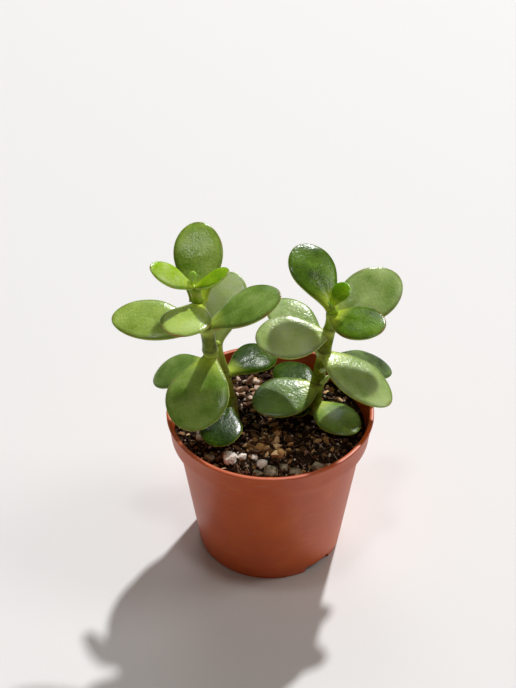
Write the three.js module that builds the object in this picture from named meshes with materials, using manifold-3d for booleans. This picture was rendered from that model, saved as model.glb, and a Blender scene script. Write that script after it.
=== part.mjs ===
// A young jade plant (Crassula ovata) in a round plastic nursery pot.
// Millimetres, +Z up. The origin is the centre of the pot's flat underside. +X is the right of
// the front view and -Y is the front.
import * as THREE from 'three';
import { mergeVertices } from 'three/addons/utils/BufferGeometryUtils.js';
import Module from 'manifold-3d';

const wasm = await Module();
wasm.setup();

// Pot
const POT_HEIGHT = 72;
const POT_BASE_RADIUS = 32;
const POT_BODY_TOP_RADIUS = 40.5;
const COLLAR_HEIGHT = 12;
const COLLAR_FOOT_RADIUS = 43.2;
const RIM_RADIUS = 45;
const WALL = 1.3;
const LIP_WIDTH = 2;
const LIP_HEIGHT = 1.6;
const LIP_STEP = 0.6;
const STEP_DROP = 0.9;
const LEDGE_DROP = 0.5;
const LEDGE_HEIGHT = 2;
const FLOOR = 1.5;
const FOOT_ROUND = 0.9;
const EDGE_ROUND = 0.5;
const COLLAR_FOOT = POT_HEIGHT - COLLAR_HEIGHT;
const LIP_BOTTOM = POT_HEIGHT - LIP_HEIGHT;
const LEDGE_BOTTOM = COLLAR_FOOT - LEDGE_DROP;
const LEDGE_TOP = LEDGE_BOTTOM + LEDGE_HEIGHT;
const POT_SIDES = 56;
const DRAIN_COUNT = 2;
const DRAIN_WIDTH = 14;
const DRAIN_HEIGHT = 3.2;
const DRAIN_REACH = 5;
const FIRST_DRAIN_ANGLE = -48;

// Potting mix
const CLEARANCE = 0.3;
const SOCKET_GAP = 0.45;
const WALL_GAP = 0.45;
const SOIL_LEVEL = 62;
const SOIL_SIDES = 36;
const SOIL_RINGS = 7;
const SOIL_RELIEF = 1.1;
const SOIL_WAVES = [
  { acrossX: 30, acrossY: -55, shift: 1.3, share: 0.6 },
  { acrossX: 20, acrossY: 21, shift: 0, share: 0.3 },
  { acrossX: -34, acrossY: 13, shift: 2, share: 0.25 },
];
const CRUMB_COUNT = 30;
const CRUMB_RADIUS = 2.2;
const CRUMB_INSET = 3.5;
const CRUMB_SQUASH = 0.75;
const CRUMB_LIFT = 0.1;
const CRUMB_SEED = 31;

// Leaves
const LEAF_THICKNESS = 3.6;
const PETIOLE_WIDTH = 3.2;
const PETIOLE_LIMIT = 0.6;
const PETIOLE_THICKNESS = 0.75;
const MIDDLE_SWELL = 0.35;
const TIP_BLUNTNESS = 5;
const UPPER_BULGE = 0.75;
const LOWER_BULGE = 1.2;
const CUP = 0.04;
const LEAF_SIDES = 12;
const LEAF_RINGS = 11;
const BUD_SIDES = 8;
const BUD_RINGS = 6;
const BUD_LENGTH = 10;

// Stems. Each axis point is [x, y, z, radius]; scars are the heights of the leaf nodes, where the
// stem is a little thicker.
const STEM_SIDES = 10;
const STEM_STEPS = 22;
const NODE_SWELL = 0.35;
const NODE_SPREAD = 1.6;
const DOME_SHARE = 0.03;
const DOME_DEPTH = 0.6;
const STEMS = {
  left: {
    name: 'left_stem',
    axis: [
      [-21.4, 17, 50, 3.3],
      [-22.2, 12.6, 63, 3.3],
      [-23.4, 7, 80, 3.2],
      [-25, 0.5, 100, 3.1],
      [-26.5, -0.3, 115, 3],
      [-29.2, -0.5, 128, 2.7],
      [-31.6, -0.5, 139, 2],
    ],
    scars: [105.8, 118.5, 131.6, 138],
  },
  back: {
    name: 'left_back_stem',
    axis: [
      [-14.4, 4.5, 50, 1.9],
      [-15.4, 7.3, 62, 1.8],
      [-17.2, 9.6, 74, 1.7],
      [-19, 10.5, 83, 1.6],
      [-21.6, 10.5, 95, 1.5],
      [-22.6, 10.5, 101.5, 1.3],
    ],
    scars: [72, 85, 100],
  },
  right: {
    name: 'right_stem',
    axis: [
      [18.9, 9.5, 50, 3.1],
      [19.4, 10, 64, 3.1],
      [20.8, 11.5, 78, 2.9],
      [22.9, 11, 93.5, 2.8],
      [25, 10.5, 106, 2.5],
      [26.2, 10, 119.5, 2.2],
    ],
    scars: [66.5, 78.8, 96.3, 109, 117.5],
  },
};

// Leaves. Each one grows from a stem's axis at a height. Its azimuth turns from +X toward +Y, its
// elevation is above the level, and its roll turns it about its own length, all in degrees. Bend
// is how far the blade arches down along its length. Widest is where along the length the blade
// is widest, and taper is how hard it narrows from there to the stem. Petiole is how wide the leaf
// is where it meets the stem, if not the usual width. Young ones are new growth.
const LEAVES = [
  { name: 'left_leaf_upright', stem: 'left', height: 130.5, azimuth: 91, elevation: 37, roll: 0,
    length: 34.7, width: 20.6, bend: 10, widest: 0.6, taper: 0.6, petiole: 8 },
  { name: 'left_leaf_upper_front', stem: 'left', height: 129.5, azimuth: -108.5, elevation: 5, roll: 3,
    length: 26, width: 21.2, bend: 12, widest: 0.59, taper: 0.64 },
  { name: 'left_leaf_far_left', stem: 'left', height: 115.5, azimuth: 174, elevation: 5, roll: -16,
    length: 40.2, width: 20.8, bend: 21, widest: 0.58, taper: 0.82 },
  { name: 'left_leaf_far_right', stem: 'left', height: 116.5, azimuth: 3, elevation: 28, roll: 10,
    length: 35.2, width: 20.2, bend: 16, widest: 0.61, taper: 0.66, petiole: 6 },
  { name: 'left_leaf_low_front', stem: 'left', height: 102, azimuth: -106, elevation: -26, roll: 3,
    length: 35.8, width: 27.3, bend: 10, widest: 0.58, taper: 0.68, petiole: 6 },
  { name: 'left_leaf_low_left', stem: 'left', height: 98, azimuth: 168, elevation: -29.5, roll: -15,
    length: 30.3, width: 17.2, bend: 10, widest: 0.6, taper: 0.85 },
  { name: 'left_tip_leaf_left', stem: 'left', height: 137.2, azimuth: -168, elevation: 37, roll: -20,
    length: 22.7, width: 11.5, bend: 10, widest: 0.6, taper: 0.75, thickness: 3, young: true },
  { name: 'left_tip_leaf_right', stem: 'left', height: 137.2, azimuth: -14, elevation: 37, roll: 2,
    length: 18.3, width: 11.8, bend: 10, widest: 0.6, taper: 0.75, thickness: 3, young: true },
  { name: 'left_tip_bud', stem: 'left', height: 140.2, azimuth: 90, elevation: 74, roll: 0,
    length: 5.2, width: 3.2, bend: 2, widest: 0.6, taper: 0.6, thickness: 1.8, young: true },
  { name: 'back_leaf_top', stem: 'back', height: 99.5, azimuth: 78, elevation: 37.5, roll: -3,
    length: 32.8, width: 19.5, bend: 10, widest: 0.6, taper: 0.73, petiole: 4 },
  { name: 'back_leaf_right', stem: 'back', height: 83, azimuth: 42, elevation: -2, roll: 7,
    length: 27, width: 18, bend: 10, widest: 0.62, taper: 0.66, petiole: 5 },
  { name: 'back_leaf_front', stem: 'back', height: 70.5, azimuth: -102.5, elevation: -2, roll: 0,
    length: 31, width: 18.5, bend: 10, widest: 0.66, taper: 1 },
  { name: 'right_leaf_upright', stem: 'right', height: 118.3, azimuth: 120.5, elevation: 32, roll: 1,
    length: 32.2, width: 20.9, bend: 10, widest: 0.62, taper: 0.64, petiole: 6.4 },
  { name: 'right_leaf_far_right', stem: 'right', height: 111.9, azimuth: 34.5, elevation: 14.3, roll: 29,
    length: 37.2, width: 23.2, bend: 10, widest: 0.56, taper: 0.62 },
  { name: 'right_leaf_upper_front', stem: 'right', height: 114.8, azimuth: -35.5, elevation: 9.7,
    roll: 13.4, length: 26.3, width: 19, bend: -2, widest: 0.54, taper: 0.51 },
  { name: 'right_tip_leaf', stem: 'right', height: 121.4, azimuth: 42, elevation: 42, roll: 2,
    length: 10.6, width: 9, bend: 10, widest: 0.6, taper: 0.6, thickness: 2.2, young: true },
  { name: 'right_tip_bud', stem: 'right', height: 120.15, azimuth: 210, elevation: 55, roll: 0,
    length: 4.4, width: 1.8, bend: 2, widest: 0.6, taper: 0.6, thickness: 1.3, young: true },
  { name: 'right_leaf_upper_left', stem: 'right', height: 104.5, azimuth: -167, elevation: 5,
    roll: -18, length: 32, width: 22.5, bend: 2, widest: 0.56, taper: 0.6 },
  { name: 'right_leaf_upper_back', stem: 'right', height: 99, azimuth: 140, elevation: 14,
    roll: -10, length: 32, width: 18.6, bend: 10, widest: 0.6, taper: 0.8 },
  { name: 'right_leaf_middle_front', stem: 'right', height: 94, azimuth: -35.8, elevation: -19,
    roll: -0.5, length: 36.3, width: 22.2, bend: 4, widest: 0.53, taper: 0.6, petiole: 5 },
  { name: 'right_leaf_middle_back', stem: 'right', height: 91, azimuth: 13, elevation: -21.5,
    roll: 8, length: 34, width: 16.6, bend: 10, widest: 0.6, taper: 0.8 },
  { name: 'right_leaf_lower_left', stem: 'right', height: 75.6, azimuth: -154, elevation: -1,
    roll: -12, length: 31, width: 21.5, bend: -4, widest: 0.54, taper: 0.6 },
  { name: 'right_leaf_lower_back', stem: 'right', height: 72.4, azimuth: 135, elevation: 3,
    roll: -4, length: 24.5, width: 16.6, bend: 10, widest: 0.55, taper: 0.88 },
  { name: 'right_leaf_lowest', stem: 'right', height: 66.6, azimuth: -47, elevation: -0.6,
    roll: 3, length: 26, width: 18.2, bend: -6, widest: 0.53, taper: 0.66, petiole: 4 },
  { name: 'right_leaf_foot', stem: 'right', height: 65.8, azimuth: -156, elevation: -8,
    roll: 0, length: 11.5, width: 8, bend: 6, widest: 0.6, taper: 0.7, thickness: 2.6 },
  { name: 'right_axil_bud_upper', stem: 'right', height: 83.5, azimuth: -58, elevation: 55,
    roll: 0, length: 6, width: 3.6, bend: 2, widest: 0.6, taper: 0.6, thickness: 2.4, young: true },
  { name: 'right_axil_bud_lower', stem: 'right', height: 76.8, azimuth: -30, elevation: 48,
    roll: 0, length: 8, width: 4.6, bend: 2, widest: 0.6, taper: 0.6, thickness: 2.6, young: true },
  { name: 'right_axil_bud_left', stem: 'right', height: 91.5, azimuth: -160, elevation: 58,
    roll: 0, length: 6.5, width: 3.6, bend: 2, widest: 0.6, taper: 0.6, thickness: 2.4, young: true },
];

// Loose grains lying in the top of the mix: [x, y, radius].
const PERLITE = [
  [-17, -22.5, 3.4],
  [-12, -21.3, 1.9],
  [-7, -20.8, 1.5],
  [-3.7, -24.6, 2.5],
  [4.5, 27, 2.2],
  [-30.5, -8.5, 1.8],
];
const PEBBLES = [
  [0.3, -29.6, 3.1],
  [-5.5, -31.5, 2.2],
  [10.5, -30.5, 2.4],
  [20, -26.8, 2.6],
  [5.5, -27, 1.8],
  [-26, -20.5, 2.4],
];
const GRAIN_SQUASH = 0.78;
const GRAIN_ROUGHNESS = 0.16;
const GRAIN_SINK = 0.35;
const PERLITE_SEED = 101;
const PEBBLE_SEED = 907;

const MERGE_GAP = 1e-4;
const GOLDEN_ANGLE = Math.PI * (3 - Math.sqrt(5));
const degrees = THREE.MathUtils.degToRad;

// A repeatable stream of numbers from 0 to 1.
function seededRandom(seed) {
  let state = seed;
  return () => {
    state = (state + 0x6d2b79f5) | 0;
    let mixed = Math.imul(state ^ (state >>> 15), 1 | state);
    mixed = (mixed + Math.imul(mixed ^ (mixed >>> 7), 61 | mixed)) ^ mixed;
    return ((mixed ^ (mixed >>> 14)) >>> 0) / 4294967296;
  };
}

function weld(geometry) {
  const bare = geometry.clone();
  bare.deleteAttribute('normal');
  bare.deleteAttribute('uv');
  return mergeVertices(bare, MERGE_GAP);
}

function toSolid(geometry) {
  const welded = weld(geometry);
  const corners = Array.from(welded.index.array);
  const kept = [];
  for (let i = 0; i < corners.length; i += 3) {
    const [a, b, c] = corners.slice(i, i + 3);
    if (a !== b && b !== c && c !== a) {
      kept.push(a, b, c);
    }
  }
  return new wasm.Manifold(new wasm.Mesh({
    numProp: 3,
    vertProperties: new Float32Array(welded.attributes.position.array),
    triVerts: new Uint32Array(kept),
  }));
}

function toGeometry(solid) {
  const mesh = solid.getMesh();
  const geometry = new THREE.BufferGeometry();
  geometry.setAttribute('position', new THREE.BufferAttribute(mesh.vertProperties, 3));
  geometry.setIndex(new THREE.BufferAttribute(mesh.triVerts, 1));
  geometry.computeVertexNormals();
  return geometry;
}

function moveVertices(geometry, place) {
  const position = geometry.attributes.position;
  const point = new THREE.Vector3();
  for (let i = 0; i < position.count; i += 1) {
    point.fromBufferAttribute(position, i);
    place(point);
    position.setXYZ(i, point.x, point.y, point.z);
  }
  return geometry;
}

// Turns a profile of [radius, height] points about +Z.
function lathe(profile, sides) {
  const points = profile.map(([radius, height]) => new THREE.Vector2(radius, height));
  return new THREE.LatheGeometry(points, sides).rotateX(Math.PI / 2);
}

// The pot's inner radius at a height, from the floor up to the lip.
function innerRadius(height) {
  const stations = [
    [FLOOR, POT_BASE_RADIUS - WALL],
    [LEDGE_BOTTOM, POT_BODY_TOP_RADIUS - WALL],
    [LEDGE_TOP, COLLAR_FOOT_RADIUS - WALL],
    [LIP_BOTTOM, RIM_RADIUS - LIP_WIDTH],
    [POT_HEIGHT, RIM_RADIUS - LIP_WIDTH],
  ];
  for (let i = 1; i < stations.length; i += 1) {
    const [lowHeight, lowRadius] = stations[i - 1];
    const [highHeight, highRadius] = stations[i];
    if (height <= highHeight) {
      return THREE.MathUtils.mapLinear(height, lowHeight, highHeight, lowRadius, highRadius);
    }
  }
  return RIM_RADIUS - LIP_WIDTH;
}

// One tapered shell: a body, a collar that steps out near the top, and a thicker rolled lip, with
// drain slots cut in the foot.
function potGeometry() {
  const profile = [
    [0, 0],
    [POT_BASE_RADIUS - FOOT_ROUND, 0],
    [POT_BASE_RADIUS, FOOT_ROUND],
    [POT_BODY_TOP_RADIUS, COLLAR_FOOT - STEP_DROP],
    [COLLAR_FOOT_RADIUS - EDGE_ROUND, COLLAR_FOOT],
    [COLLAR_FOOT_RADIUS, COLLAR_FOOT + EDGE_ROUND],
    [RIM_RADIUS - LIP_STEP, LIP_BOTTOM],
    [RIM_RADIUS, LIP_BOTTOM + EDGE_ROUND],
    [RIM_RADIUS, POT_HEIGHT - EDGE_ROUND],
    [RIM_RADIUS - EDGE_ROUND, POT_HEIGHT],
    [RIM_RADIUS - LIP_WIDTH + EDGE_ROUND, POT_HEIGHT],
    [RIM_RADIUS - LIP_WIDTH, POT_HEIGHT - EDGE_ROUND],
    [innerRadius(LIP_BOTTOM), LIP_BOTTOM],
    [innerRadius(LEDGE_TOP), LEDGE_TOP],
    [innerRadius(LEDGE_BOTTOM), LEDGE_BOTTOM],
    [innerRadius(FLOOR), FLOOR],
    [0, FLOOR],
  ];
  let pot = toSolid(lathe(profile, POT_SIDES));
  for (let i = 0; i < DRAIN_COUNT; i += 1) {
    const angle = degrees(FIRST_DRAIN_ANGLE + (i * 360) / DRAIN_COUNT);
    const slot = new THREE.BoxGeometry(DRAIN_REACH * 2, DRAIN_WIDTH, DRAIN_HEIGHT * 2);
    slot.translate(POT_BASE_RADIUS, 0, 0).rotateZ(angle);
    pot = pot.subtract(toSolid(slot));
  }
  return toGeometry(pot);
}

// The height of the mix at a place: long soft swells that fade out at the wall.
function soilHeight(x, y) {
  const reach = Math.hypot(x, y) / innerRadius(SOIL_LEVEL);
  let swell = 0;
  for (const { acrossX, acrossY, shift, share } of SOIL_WAVES) {
    swell += share * Math.sin(2 * Math.PI * (x / acrossX + y / acrossY) + shift);
  }
  return SOIL_LEVEL + SOIL_RELIEF * swell * (1 - reach ** 6);
}

function stemAxisAt(stem, height) {
  const { axis } = STEMS[stem];
  const found = axis.findIndex((point) => point[2] >= height);
  const upper = found < 0 ? axis.length - 1 : Math.max(found, 1);
  const [low, high] = [axis[upper - 1], axis[upper]];
  const share = (height - low[2]) / (high[2] - low[2]);
  return new THREE.Vector3(
    THREE.MathUtils.lerp(low[0], high[0], share),
    THREE.MathUtils.lerp(low[1], high[1], share),
    height,
  );
}

// A stem is a cylinder bent along its axis curve, thicker at its leaf scars and rounded at the
// top. Extra widens it all round, and lengthens it at both ends by as much.
function stemGeometry(stem, extra = 0) {
  const { axis, scars } = STEMS[stem];
  const curve = new THREE.CatmullRomCurve3(
    axis.map(([x, y, z]) => new THREE.Vector3(x, y, z)),
    false,
    'centripetal',
  );
  const bottom = axis[0][2];
  const top = axis[axis.length - 1][2];
  const geometry = new THREE.CylinderGeometry(1, 1, 1, STEM_SIDES, STEM_STEPS);
  return moveVertices(geometry.rotateX(Math.PI / 2), (point) => {
    const along = point.z + 0.5;
    const centre = curve.getPoint(along);
    const radii = axis.map((station) => station[3]);
    const place = THREE.MathUtils.clamp((centre.z - bottom) / (top - bottom), 0, 1);
    const span = radii.length - 1;
    const station = Math.min(Math.floor(along * span), span - 1);
    let radius = THREE.MathUtils.lerp(radii[station], radii[station + 1], along * span - station);
    for (const scar of scars) {
      radius += NODE_SWELL * Math.exp(-(((centre.z - scar) / NODE_SPREAD) ** 2));
    }
    const dome = Math.max(0, 1 - (1 - place) / DOME_SHARE);
    radius *= Math.sqrt(1 - DOME_DEPTH * dome ** 2);
    const atEnd = Math.abs(point.z) > 0.5 - MERGE_GAP;
    const stretch = atEnd ? extra * Math.sign(point.z) : 0;
    point.set(
      centre.x + point.x * (radius + extra),
      centre.y + point.y * (radius + extra),
      centre.z + stretch,
    );
  });
}

// Half the blade's width at a share of its length: a narrow petiole, then an egg-shaped blade.
function halfWidth(leaf, along) {
  const power = Math.log(0.5) / Math.log(leaf.widest);
  const bow = Math.max(Math.sin(Math.PI * along ** power), 0);
  const blade = (leaf.width / 2) * bow ** (along < leaf.widest ? leaf.taper : 0.5);
  const stalk = Math.min(leaf.petiole ?? PETIOLE_WIDTH, leaf.width * PETIOLE_LIMIT);
  const petiole = (stalk / 2) * (1 - along) ** 2;
  return Math.hypot(blade, petiole);
}

// Half the blade's thickness at a share of its length: fleshy to near the tip, then round.
function halfThickness(leaf, along) {
  const thickness = leaf.thickness ?? LEAF_THICKNESS;
  const swell = PETIOLE_THICKNESS + MIDDLE_SWELL * Math.sin(Math.PI * along);
  return (thickness / 2) * Math.sqrt(1 - along ** TIP_BLUNTNESS) * swell;
}

// A blade is a sphere with one pole at the stem and the other at the tip, drawn out into a leaf
// along +X with its upper face toward +Z.
function bladeGeometry(leaf) {
  const small = leaf.length < BUD_LENGTH;
  const sides = small ? BUD_SIDES : LEAF_SIDES;
  const rings = small ? BUD_RINGS : LEAF_RINGS;
  const arch = degrees(leaf.bend);
  const bendRadius = leaf.length / (2 * Math.sin(arch / 2));
  const sphere = new THREE.SphereGeometry(1, sides, rings);
  return moveVertices(sphere, (point) => {
    const along = THREE.MathUtils.clamp((1 - point.y) / 2, 0, 1);
    const around = Math.hypot(point.x, point.z);
    const across = around > MERGE_GAP ? point.x / around : 0;
    const rise = around > MERGE_GAP ? point.z / around : 0;
    const side = halfWidth(leaf, along) * across;
    const bulge = rise > 0 ? UPPER_BULGE : LOWER_BULGE;
    const cup = CUP * leaf.width * (side / (leaf.width / 2)) ** 2;
    const lift = bulge * halfThickness(leaf, along) * rise + cup;
    const slope = arch / 2 - arch * along;
    point.set(
      bendRadius * (Math.sin(arch / 2) - Math.sin(slope)) - lift * Math.sin(slope),
      side,
      bendRadius * (Math.cos(slope) - Math.cos(arch / 2)) + lift * Math.cos(slope),
    );
  });
}

// A leaf ends a hair short of the stem that it grows from, hollowed to the stem's round.
function leafMesh(leaf, material) {
  const placed = new THREE.Object3D();
  placed.position.copy(stemAxisAt(leaf.stem, leaf.height));
  placed.rotation.set(degrees(leaf.roll), degrees(-leaf.elevation), degrees(leaf.azimuth), 'ZYX');
  placed.updateMatrix();
  const stem = stemGeometry(leaf.stem, CLEARANCE).applyMatrix4(placed.matrix.clone().invert());
  const blade = toSolid(bladeGeometry(leaf)).subtract(toSolid(stem));
  const mesh = new THREE.Mesh(toGeometry(blade), material);
  mesh.name = leaf.name;
  mesh.position.copy(placed.position);
  mesh.rotation.copy(placed.rotation);
  return mesh;
}

// A rough grain: an icosahedron with seeded dents. Extra grows it evenly for its pocket.
function grainGeometry([x, y, radius], seed, extra = 0) {
  const random = seededRandom(seed);
  const grain = weld(new THREE.IcosahedronGeometry(1, 1));
  moveVertices(grain, (point) => {
    const dent = 1 + GRAIN_ROUGHNESS * (random() * 2 - 1);
    point.multiplyScalar(radius * dent + extra);
    point.z *= GRAIN_SQUASH;
  });
  const seat = soilHeight(x, y) + radius * GRAIN_SQUASH * GRAIN_SINK;
  return grain.translate(x, y, seat);
}

function seedGrains(list, firstSeed) {
  return list.map((grain, i) => ({ grain, seed: firstSeed + i }));
}

const perliteGrains = seedGrains(PERLITE, PERLITE_SEED);
const pebbleGrains = seedGrains(PEBBLES, PEBBLE_SEED);

// Lumps of bark and peat set out in a sunflower spiral and sunk halfway into the mix.
function crumbs(spread) {
  const random = seededRandom(CRUMB_SEED);
  return Array.from({ length: CRUMB_COUNT }, (_, i) => {
    const angle = i * GOLDEN_ANGLE;
    const reach = Math.sqrt((i + 0.5) / CRUMB_COUNT) * spread;
    const [x, y] = [reach * Math.cos(angle), reach * Math.sin(angle)];
    const size = CRUMB_RADIUS * THREE.MathUtils.lerp(0.6, 1.2, random());
    const crumb = new THREE.IcosahedronGeometry(size, 0);
    crumb.scale(1, CRUMB_SQUASH, CRUMB_SQUASH).rotateZ(2 * Math.PI * random());
    return crumb.translate(x, y, soilHeight(x, y) + CRUMB_LIFT * size);
  });
}

// The mix fills the pot to below the rim. Its top rolls, carries crumbs of bark and peat, and has
// a socket for each stem and a pocket for each loose grain.
function soilGeometry() {
  const bottom = FLOOR + CLEARANCE;
  const edge = innerRadius(SOIL_LEVEL) - WALL_GAP;
  const profile = [[0, bottom]];
  for (const height of [bottom, LEDGE_BOTTOM, SOIL_LEVEL]) {
    profile.push([innerRadius(height) - WALL_GAP, height]);
  }
  for (let ring = SOIL_RINGS - 1; ring >= 0; ring -= 1) {
    profile.push([(edge * ring) / SOIL_RINGS, SOIL_LEVEL]);
  }
  const body = moveVertices(lathe(profile, SOIL_SIDES), (point) => {
    if (point.z === SOIL_LEVEL) {
      point.z = soilHeight(point.x, point.y);
    }
  });
  let soil = toSolid(body);
  for (const crumb of crumbs(edge - CRUMB_INSET)) {
    soil = soil.add(toSolid(crumb));
  }
  for (const stem of Object.keys(STEMS)) {
    soil = soil.subtract(toSolid(stemGeometry(stem, SOCKET_GAP)));
  }
  for (const { grain, seed } of [...perliteGrains, ...pebbleGrains]) {
    soil = soil.subtract(toSolid(grainGeometry(grain, seed, SOCKET_GAP)));
  }
  return toGeometry(soil);
}

function material(color, roughness) {
  return new THREE.MeshStandardMaterial({ color, roughness, metalness: 0 });
}

const plastic = () => material(0xa85a38, 0.5);
const peat = () => material(0x2b1d14, 0.95);
const stemSkin = () => material(0x5c6a1e, 0.6);
const leafFlesh = () => material(0x5a7f35, 0.35);
const newGrowth = () => material(0x86b51e, 0.4);
const perliteWhite = () => material(0xf1ebe2, 0.9);
const pebbleGrey = () => material(0x8d8f7c, 0.8);

function addMesh(group, name, geometry, surface) {
  const mesh = new THREE.Mesh(geometry, surface);
  mesh.name = name;
  group.add(mesh);
}

function buildPlant() {
  const plant = new THREE.Group();
  addMesh(plant, 'nursery_pot', potGeometry(), plastic());
  addMesh(plant, 'potting_mix', soilGeometry(), peat());
  for (const stem of Object.keys(STEMS)) {
    addMesh(plant, STEMS[stem].name, stemGeometry(stem), stemSkin());
  }
  for (const leaf of LEAVES) {
    plant.add(leafMesh(leaf, leaf.young ? newGrowth() : leafFlesh()));
  }
  perliteGrains.forEach(({ grain, seed }, i) => {
    addMesh(plant, `perlite_${i + 1}`, grainGeometry(grain, seed), perliteWhite());
  });
  pebbleGrains.forEach(({ grain, seed }, i) => {
    addMesh(plant, `pebble_${i + 1}`, grainGeometry(grain, seed), pebbleGrey());
  });
  return plant;
}

export default buildPlant();
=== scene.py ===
# A young jade plant (Crassula ovata) in a round plastic nursery pot.
# Looks only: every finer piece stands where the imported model's piece is, in the same frame.
# Sizes in the dictionaries are millimetres and degrees; meshes are made in metres.
import math
import random

import bmesh
import bpy
from mathutils import Euler, Matrix, Vector, noise


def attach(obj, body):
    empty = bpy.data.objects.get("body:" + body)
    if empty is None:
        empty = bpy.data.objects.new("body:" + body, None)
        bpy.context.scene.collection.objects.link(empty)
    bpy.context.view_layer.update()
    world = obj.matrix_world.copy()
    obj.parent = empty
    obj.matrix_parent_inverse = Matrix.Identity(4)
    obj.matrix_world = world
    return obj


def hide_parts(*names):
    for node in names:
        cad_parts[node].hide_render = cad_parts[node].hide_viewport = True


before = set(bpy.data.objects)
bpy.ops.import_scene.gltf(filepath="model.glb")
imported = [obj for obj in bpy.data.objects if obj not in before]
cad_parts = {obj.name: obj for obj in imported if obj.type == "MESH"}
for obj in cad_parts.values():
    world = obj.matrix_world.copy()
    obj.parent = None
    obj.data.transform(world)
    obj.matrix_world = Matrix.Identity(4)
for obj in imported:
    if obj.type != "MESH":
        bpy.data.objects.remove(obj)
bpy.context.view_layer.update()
mm = 0.001
print("frame loaded:", len(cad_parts), "nodes")


# Camera

view = {
    "lens": 88.95,
    "pitch": 38.4,
    "distance": 714,
    "aim": (-5.3, 0, 108),
}


def makeCamera():
    pitch = math.radians(view["pitch"])
    aim = Vector(view["aim"]) * mm
    back = Vector((0, -math.cos(pitch), math.sin(pitch)))
    camera = bpy.data.objects.new("camera", bpy.data.cameras.new("camera"))
    camera.data.lens = view["lens"]
    camera.location = aim + back * view["distance"] * mm
    camera.rotation_euler = (-back).to_track_quat("-Z", "Y").to_euler()
    bpy.context.collection.objects.link(camera)
    bpy.context.scene.camera = camera


# Floor and light

studio = {
    "floorSize": 8000,
    "floorColour": "e8e8e8",
    "worldColour": "ffeedd",
    "worldStrength": 0.12,
    "aim": (0, 0, 70),
}

# Each lamp shines on the plant from an azimuth, an elevation and a distance; power is in watts.
lamps = {
    "lowSun": dict(azimuth=68, elevation=47, distance=8000, size=420, power=600, colour="ffffff"),
    "backWindow": dict(azimuth=97, elevation=46, distance=5000, size=2000, power=26, colour="f8faff"),
    "highLamp": dict(azimuth=-112, elevation=83, distance=1500, size=160, power=2.1, colour="ffffff"),
    "rightWindow": dict(azimuth=5, elevation=45, distance=3000, size=1100, power=15, colour="fffaf4"),
}


def makeStudio():
    floor = addPiece("floor", lambda bm: bmesh.ops.create_grid(
        bm, x_segments=1, y_segments=1, size=studio["floorSize"] * mm / 2))
    floor.data.materials.append(paperFloor())
    aim = Vector(studio["aim"]) * mm
    for name, lamp in lamps.items():
        light = bpy.data.lights.new(name, "AREA")
        light.shape = "DISK"
        light.size = lamp["size"] * mm
        light.energy = lamp["power"]
        light.color = linearColour(lamp["colour"])[:3]
        holder = bpy.data.objects.new(name, light)
        turn = Euler((0, -math.radians(lamp["elevation"]), math.radians(lamp["azimuth"])))
        back = turn.to_matrix() @ Vector((1, 0, 0))
        holder.location = aim + back * lamp["distance"] * mm
        holder.rotation_euler = (-back).to_track_quat("-Z", "Y").to_euler()
        bpy.context.collection.objects.link(holder)
    world = bpy.data.worlds.new("room")
    world.use_nodes = True
    background = world.node_tree.nodes["Background"]
    background.inputs["Color"].default_value = linearColour(studio["worldColour"])
    background.inputs["Strength"].default_value = studio["worldStrength"]
    bpy.context.scene.world = world
    bpy.context.scene.view_settings.view_transform = "Standard"


# Small helpers


def linearColour(hexText):
    channels = [int(hexText[i:i + 2], 16) / 255 for i in (0, 2, 4)]
    linear = [c / 12.92 if c <= 0.04045 else ((c + 0.055) / 1.055) ** 2.4 for c in channels]
    return linear + [1.0]


def bell(value, centre, spread):
    return math.exp(-(((value - centre) / spread) ** 2))


def mix(low, high, share):
    return low + (high - low) * share


def clamp(value):
    return min(max(value, 0.0), 1.0)


# Fills a new object's mesh with what shape(bm) makes, in metres, smooth but for sharp folds.
def addPiece(name, shape, sharp=180):
    bm = bmesh.new()
    shape(bm)
    mesh = bpy.data.meshes.new(name)
    bm.to_mesh(mesh)
    bm.free()
    for face in mesh.polygons:
        face.use_smooth = True
    mesh.set_sharp_from_angle(angle=math.radians(sharp))
    piece = bpy.data.objects.new(name, mesh)
    bpy.context.collection.objects.link(piece)
    return piece


def setPlace(piece, material, slot, *nodes):
    piece.data.materials.append(material)
    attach(piece, "root")
    if nodes:
        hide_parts(*nodes)


# Adds one node. A setting is one of the node's own or an unlinked socket's; a link is a socket's
# name or number and what feeds it; stops are a colour ramp's places and colours.
def addNode(material, kind, settings=None, links=None, stops=None):
    node = material.node_tree.nodes.new(kind)
    for key, value in (settings or {}).items():
        if isinstance(key, str) and hasattr(node, key):
            setattr(node, key, value)
        else:
            node.inputs[key].default_value = linearColour(value) if isinstance(value, str) else value
    for key, socket in (links or {}).items():
        material.node_tree.links.new(socket, node.inputs[key])
    if stops:
        ramp = node.color_ramp.elements
        while len(ramp) < len(stops):
            ramp.new(0.5)
        for element, (place, hexText) in zip(ramp, stops):
            element.position = place
            element.color = linearColour(hexText)
    return node


def newMaterial(name):
    material = bpy.data.materials.new(name)
    material.use_nodes = True
    material.node_tree.nodes.clear()
    return material


def finishMaterial(material, settings, links):
    shader = addNode(material, "ShaderNodeBsdfPrincipled", settings, links)
    addNode(material, "ShaderNodeOutputMaterial", links={"Surface": shader.outputs["BSDF"]})
    return material


# Mix node sockets of its colour mode
mixFactor, mixA, mixB, mixResult = 0, 6, 7, 2


# A texture's scale for a pattern whose features are this many millimetres apart
def perMillimetre(size):
    return 1 / (size * mm)


# The values that a piece's mesh carries under these names, as sockets
def readParts(material, names):
    return {name: addNode(material, "ShaderNodeAttribute", {"attribute_name": name}).outputs["Fac"]
            for name in names}


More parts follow.
